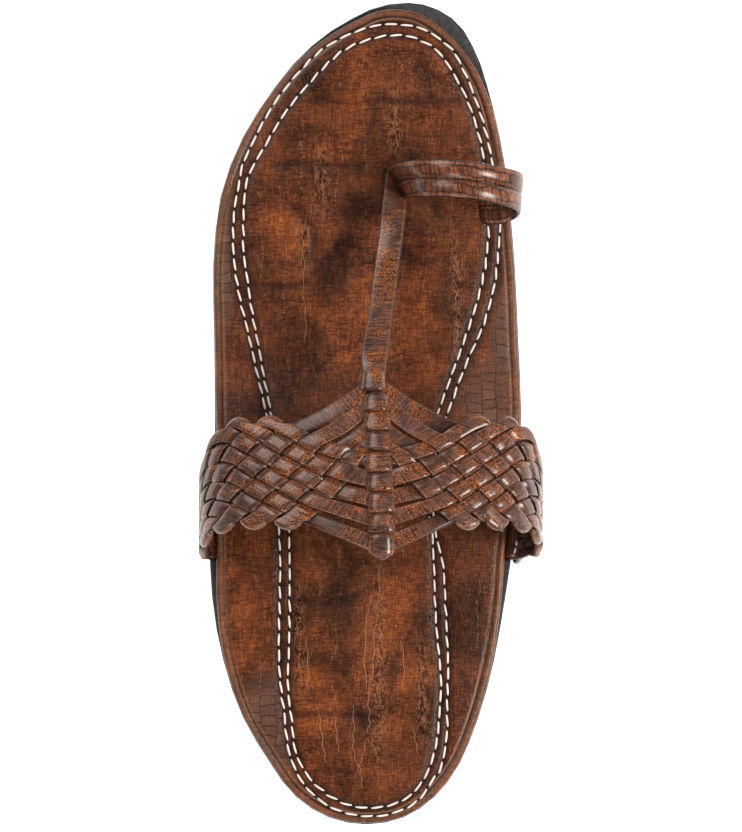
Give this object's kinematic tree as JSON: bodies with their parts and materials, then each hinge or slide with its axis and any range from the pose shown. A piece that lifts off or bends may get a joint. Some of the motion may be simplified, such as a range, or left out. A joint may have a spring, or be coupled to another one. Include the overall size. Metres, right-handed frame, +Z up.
{
  "type": "sandal",
  "caption": "Flat leather sandal with a woven instep band laced to a centre spine, a thong strap and a toe loop on a rubber sole.",
  "frame": {"origin": "on the floor, at the middle of the shoe's bounding box", "axes": "+Y towards the toe, +X towards the big toe's side, +Z up from the floor"},
  "size_m": [0.117, 0.2801, 0.0658],
  "materials": {
    "charcoal_rubber": "matt textured",
    "footbed_leather": "embossed satin",
    "strap_leather": "satin",
    "loop_leather": "embossed satin"
  },
  "bodies": {
    "root": {"outsole": "charcoal_rubber", "footbed": "footbed_leather", "upper": "strap_leather", "toe_loop": "loop_leather"}
  },
  "joints": []
}
